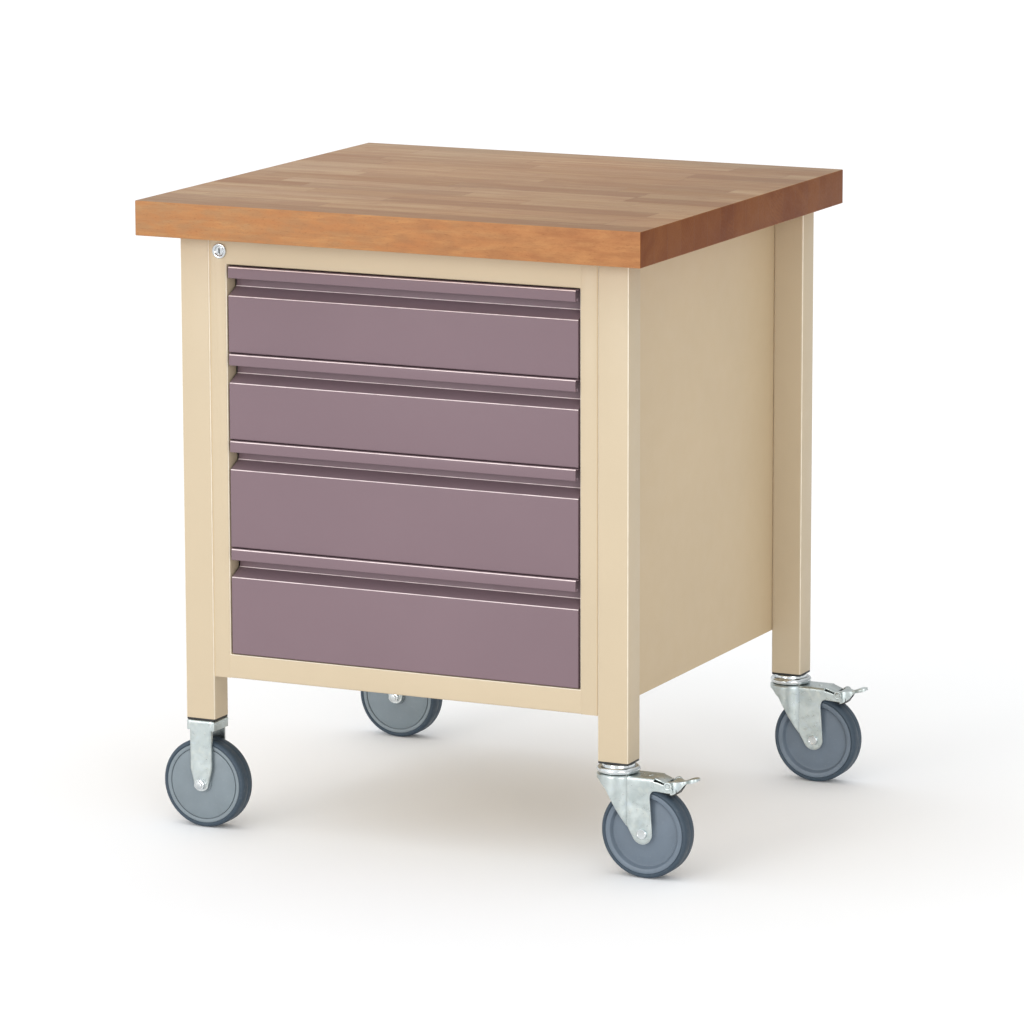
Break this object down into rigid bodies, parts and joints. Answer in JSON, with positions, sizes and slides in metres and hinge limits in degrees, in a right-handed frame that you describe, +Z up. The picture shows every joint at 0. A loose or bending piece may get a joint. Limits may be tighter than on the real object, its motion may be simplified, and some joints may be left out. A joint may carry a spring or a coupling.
{
  "type": "mobile workbench with drawers",
  "caption": "Mobile workbench with a thick beech worktop, square steel legs, a lockable housing with full-width pull-out drawers, and castors, fixed on one side and braked swivel on the other.",
  "frame": {"origin": "on the floor, under the middle of the worktop", "axes": "+X to the right along the drawer fronts, -Y out of the drawer fronts, +Z up"},
  "size_m": [0.8055, 0.7015, 0.88],
  "materials": {
    "beech": "oiled",
    "cream_paint": "fine powder coat",
    "mauve_paint": "fine powder coat",
    "zinc": "bright zinc plated",
    "chrome": "polished",
    "black_plastic": "matte",
    "rim_grey": "satin",
    "tyre_grey": "matte"
  },
  "bodies": {
    "root": {"worktop": "beech", "worktop_screws": "zinc", "top_crossbars": "zinc", "leg_front_left": "cream_paint", "leg_front_right": "cream_paint", "leg_back_left": "cream_paint", "leg_back_right": "cream_paint", "leg_plugs": "black_plastic", "housing_wall_left": "cream_paint", "housing_wall_right": "cream_paint", "housing_back": "cream_paint", "housing_floor": "cream_paint", "housing_screws": "zinc", "front_stile_left": "cream_paint", "front_stile_right": "cream_paint", "front_rail_top": "cream_paint", "front_rail_bottom": "cream_paint", "slide_posts": "zinc", "lock_housing": "chrome", "drawer_1_outer_rails": "zinc", "drawer_2_outer_rails": "zinc", "drawer_3_outer_rails": "zinc", "drawer_4_outer_rails": "zinc", "fixed_bracket_front": "zinc", "fixed_bracket_back": "zinc", "fixed_castor_axles": "zinc", "swivel_head_front": "zinc", "swivel_head_back": "zinc"},
    "drawer_1": {"drawer_1_front": "mauve_paint", "drawer_1_tray": "cream_paint", "drawer_1_inner_rails": "zinc"},
    "slide_members_1": {"drawer_1_middle_rails": "zinc"},
    "drawer_2": {"drawer_2_front": "mauve_paint", "drawer_2_tray": "cream_paint", "drawer_2_inner_rails": "zinc"},
    "slide_members_2": {"drawer_2_middle_rails": "zinc"},
    "drawer_3": {"drawer_3_front": "mauve_paint", "drawer_3_tray": "cream_paint", "drawer_3_inner_rails": "zinc"},
    "slide_members_3": {"drawer_3_middle_rails": "zinc"},
    "drawer_4": {"drawer_4_front": "mauve_paint", "drawer_4_tray": "cream_paint", "drawer_4_inner_rails": "zinc"},
    "slide_members_4": {"drawer_4_middle_rails": "zinc"},
    "lock_core": {"lock_plug": "chrome"},
    "lock_lift_bar": {"lock_bar": "zinc"},
    "fixed_wheel_front": {"wheel_front_left": "rim_grey", "tyre_front_left": "tyre_grey"},
    "swivel_front": {"fork_front_right": "zinc", "axle_front_right": "zinc"},
    "swivel_wheel_front": {"wheel_front_right": "rim_grey", "tyre_front_right": "tyre_grey"},
    "brake_front": {"brake_lever_front": "zinc"},
    "fixed_wheel_back": {"wheel_back_left": "rim_grey", "tyre_back_left": "tyre_grey"},
    "swivel_back": {"fork_back_right": "zinc", "axle_back_right": "zinc"},
    "swivel_wheel_back": {"wheel_back_right": "rim_grey", "tyre_back_right": "tyre_grey"},
    "brake_back": {"brake_lever_back": "zinc"}
  },
  "joints": [
    {"name": "drawer_1_slide", "type": "slide", "parent": "root", "child": "drawer_1", "axis": [0, -1, 0], "range_m": [0, 0.5]},
    {"name": "slide_members_1_slide", "type": "slide", "parent": "root", "child": "slide_members_1", "axis": [0, -1, 0], "range_m": [0, 0.25]},
    {"name": "drawer_2_slide", "type": "slide", "parent": "root", "child": "drawer_2", "axis": [0, -1, 0], "range_m": [0, 0.5]},
    {"name": "slide_members_2_slide", "type": "slide", "parent": "root", "child": "slide_members_2", "axis": [0, -1, 0], "range_m": [0, 0.25]},
    {"name": "drawer_3_slide", "type": "slide", "parent": "root", "child": "drawer_3", "axis": [0, -1, 0], "range_m": [0, 0.5]},
    {"name": "slide_members_3_slide", "type": "slide", "parent": "root", "child": "slide_members_3", "axis": [0, -1, 0], "range_m": [0, 0.25]},
    {"name": "drawer_4_slide", "type": "slide", "parent": "root", "child": "drawer_4", "axis": [0, -1, 0], "range_m": [0, 0.5]},
    {"name": "slide_members_4_slide", "type": "slide", "parent": "root", "child": "slide_members_4", "axis": [0, -1, 0], "range_m": [0, 0.25]},
    {"name": "lock_turn", "type": "hinge", "parent": "root", "child": "lock_core", "pos_m": [-0.274, -0.297, 0.81], "axis": [0, -1, 0], "range_deg": [0, 90]},
    {"name": "lock_bar_lift", "type": "slide", "parent": "root", "child": "lock_lift_bar", "axis": [0, 0, 1], "range_m": [0, 0.01273]},
    {"name": "wheel_front_left_spin", "type": "hinge", "parent": "root", "child": "fixed_wheel_front", "pos_m": [-0.3125, -0.278, 0.0625], "axis": [0, 1, 0], "continuous": true},
    {"name": "castor_front_swivel", "type": "hinge", "parent": "root", "child": "swivel_front", "pos_m": [0.3125, -0.278, 0.14], "axis": [0, 0, 1], "continuous": true},
    {"name": "wheel_front_right_spin", "type": "hinge", "parent": "swivel_front", "child": "swivel_wheel_front", "pos_m": [0.3555, -0.278, 0.0625], "axis": [0, 1, 0], "continuous": true},
    {"name": "brake_front_press", "type": "hinge", "parent": "swivel_front", "child": "brake_front", "pos_m": [0.3925, -0.278, 0.131], "axis": [0, 1, 0], "range_deg": [0, 15]},
    {"name": "wheel_back_left_spin", "type": "hinge", "parent": "root", "child": "fixed_wheel_back", "pos_m": [-0.3125, 0.322, 0.0625], "axis": [0, 1, 0], "continuous": true},
    {"name": "castor_back_swivel", "type": "hinge", "parent": "root", "child": "swivel_back", "pos_m": [0.3125, 0.322, 0.14], "axis": [0, 0, 1], "continuous": true},
    {"name": "wheel_back_right_spin", "type": "hinge", "parent": "swivel_back", "child": "swivel_wheel_back", "pos_m": [0.3555, 0.322, 0.0625], "axis": [0, 1, 0], "continuous": true},
    {"name": "brake_back_press", "type": "hinge", "parent": "swivel_back", "child": "brake_back", "pos_m": [0.3925, 0.322, 0.131], "axis": [0, 1, 0], "range_deg": [0, 15]}
  ],
  "couplings": [
    {"joint": "slide_members_1_slide", "follows": "drawer_1_slide", "ratio": 0.5},
    {"joint": "slide_members_2_slide", "follows": "drawer_2_slide", "ratio": 0.5},
    {"joint": "slide_members_3_slide", "follows": "drawer_3_slide", "ratio": 0.5},
    {"joint": "slide_members_4_slide", "follows": "drawer_4_slide", "ratio": 0.5},
    {"joint": "lock_turn", "follows": "lock_bar_lift", "rad_per_m": 123.39}
  ]
}
